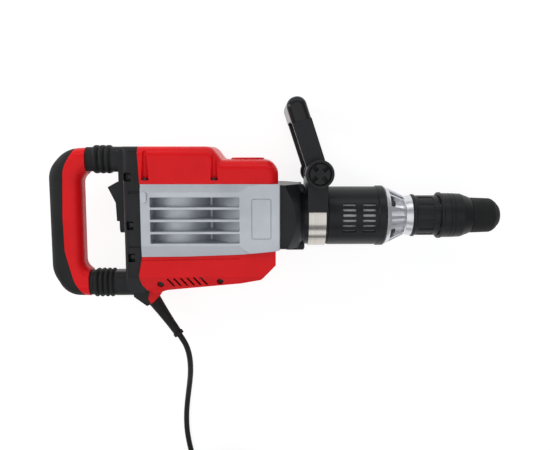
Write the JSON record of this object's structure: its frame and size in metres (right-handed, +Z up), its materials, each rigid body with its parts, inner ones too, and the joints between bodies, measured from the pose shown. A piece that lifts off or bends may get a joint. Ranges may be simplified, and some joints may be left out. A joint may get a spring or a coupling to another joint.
{
  "type": "demolition hammer",
  "caption": "Electric demolition hammer with a damped D-handle, a tilting side handle, a chisel holder that turns and locks, and a mains cord.",
  "frame": {"origin": "centre of the mouth of the chisel bore, on the tool's axis", "axes": "+X along the tool's axis, out of the chisel bore; +Y towards the tool's top, where the side handle stands; +Z up, out of the tool's right side, because the tool lies on its left side"},
  "size_m": [0.5958, 0.6508, 0.133],
  "materials": {
    "red_plastic": "moulded, satin gloss",
    "black_plastic": "moulded, fine texture",
    "black_rubber": "matt",
    "cord_rubber": "matt",
    "silver_casting": "fine cast, satin",
    "black_casting": "satin black coat",
    "band_steel": "brushed",
    "tool_steel": "ground",
    "spring_steel": "drawn wire",
    "screw_steel": "blackened",
    "core_steel": "stacked sheet",
    "copper": "enamelled winding",
    "carbon": "pressed carbon",
    "plated_brass": "nickel plated"
  },
  "bodies": {
    "tool_casing": {"rear_housing_right": "black_plastic", "rear_housing_left": "black_plastic", "housing_screws": "screw_steel", "trigger_pin": "tool_steel", "switch_module": "black_plastic", "cord_boot": "black_rubber", "top_cover": "red_plastic", "bottom_cover": "red_plastic", "main_housing": "silver_casting", "bearing_plate": "silver_casting", "gear_cover": "silver_casting", "stator_core": "core_steel", "field_windings": "copper", "ball_bearings": "tool_steel", "brush_holders": "black_plastic", "carbon_brushes": "carbon", "cylinder": "tool_steel", "gearbox_collar": "black_casting", "barrel_housing": "tool_steel", "barrel_cover": "black_casting", "nose_cone": "silver_casting", "barrel_bolts": "screw_steel", "cord": "cord_rubber", "cord_coil": "cord_rubber", "cord_tie": "cord_rubber", "plug_body": "black_plastic", "plug_pins": "plated_brass", "handle_bellows": "black_rubber", "damper_springs": "spring_steel"},
    "rear_handle": {"handle_shell_right": "red_plastic", "handle_shell_left": "red_plastic", "handle_grip_pad": "black_rubber", "handle_screws": "screw_steel", "guide_rods": "tool_steel"},
    "trigger": {"trigger": "black_plastic"},
    "crank": {"crank_gear": "tool_steel", "crankshaft": "tool_steel"},
    "intermediate_gear": {"intermediate_gear": "tool_steel"},
    "armature": {"armature_core": "core_steel", "armature_windings": "copper", "armature_shaft": "tool_steel", "commutator": "copper", "cooling_fan": "black_plastic"},
    "piston": {"piston": "tool_steel", "wrist_pin": "tool_steel"},
    "connecting_rod": {"connecting_rod": "tool_steel", "crank_pin": "tool_steel"},
    "striker": {"striker": "tool_steel"},
    "impact_bolt": {"impact_bolt": "tool_steel"},
    "chisel_holder": {"tool_holder": "tool_steel", "indexing_ring": "black_plastic", "dust_cap": "black_rubber", "sleeve_spring": "spring_steel"},
    "locking_sleeve": {"locking_sleeve": "black_plastic"},
    "side_handle_clamp": {"clamp_saddle": "black_casting", "clamp_band": "band_steel", "clamp_bolt": "tool_steel"},
    "side_handle": {"side_handle_frame": "black_plastic", "side_handle_grip": "black_plastic"},
    "clamp_knob": {"clamp_knob": "black_plastic"}
  },
  "joints": [
    {"name": "rear_handle_slide", "type": "slide", "parent": "tool_casing", "child": "rear_handle", "axis": [1, 0, 0], "range_m": [0, 0.008], "stiffness_N_per_m": 9000, "deforming": ["handle_bellows", "damper_springs"]},
    {"name": "trigger_press", "type": "hinge", "parent": "tool_casing", "child": "trigger", "pos_m": [-0.497, -0.003, 0], "axis": [0, 0, -1], "range_deg": [0, 8], "stiffness_Nm_per_rad": 1.5},
    {"name": "crank_spin", "type": "hinge", "parent": "tool_casing", "child": "crank", "pos_m": [-0.33525, 0, 0], "axis": [0, 1, 0], "continuous": true},
    {"name": "intermediate_spin", "type": "hinge", "parent": "tool_casing", "child": "intermediate_gear", "pos_m": [-0.37775, 0, 0], "axis": [0, 1, 0], "continuous": true},
    {"name": "armature_spin", "type": "hinge", "parent": "tool_casing", "child": "armature", "pos_m": [-0.425, 0, 0], "axis": [0, 1, 0], "continuous": true},
    {"name": "piston_slide", "type": "slide", "parent": "tool_casing", "child": "piston", "axis": [1, 0, 0], "range_m": [0, 0.032]},
    {"name": "connecting_rod_swing", "type": "hinge", "parent": "piston", "child": "connecting_rod", "pos_m": [-0.28125, 0, 0], "axis": [0, 1, 0], "range_deg": [-13, 13]},
    {"name": "striker_slide", "type": "slide", "parent": "tool_casing", "child": "striker", "axis": [1, 0, 0], "range_m": [-0.01, 0.006]},
    {"name": "impact_bolt_slide", "type": "slide", "parent": "tool_casing", "child": "impact_bolt", "axis": [1, 0, 0], "range_m": [-0.003, 0.004]},
    {"name": "chisel_holder_turn", "type": "hinge", "parent": "tool_casing", "child": "chisel_holder", "pos_m": [-0.1, 0, 0], "axis": [1, 0, 0], "continuous": true},
    {"name": "locking_sleeve_slide", "type": "slide", "parent": "chisel_holder", "child": "locking_sleeve", "axis": [-1, 0, 0], "range_m": [0, 0.01], "stiffness_N_per_m": 1500, "deforming": ["sleeve_spring"]},
    {"name": "side_handle_swivel", "type": "hinge", "parent": "tool_casing", "child": "side_handle_clamp", "pos_m": [-0.2455, 0, 0], "axis": [1, 0, 0], "continuous": true},
    {"name": "side_handle_tilt", "type": "hinge", "parent": "side_handle_clamp", "child": "side_handle", "pos_m": [-0.2455, 0.0577, 0], "axis": [0, 0, 1], "range_deg": [-100, 35]},
    {"name": "clamp_knob_turn", "type": "hinge", "parent": "side_handle_clamp", "child": "clamp_knob", "pos_m": [-0.2455, 0.0577, 0], "axis": [0, 0, 1], "continuous": true}
  ],
  "couplings": [
    {"joint": "intermediate_spin", "follows": "crank_spin", "ratio": -4},
    {"joint": "armature_spin", "follows": "crank_spin", "ratio": 21.2}
  ]
}
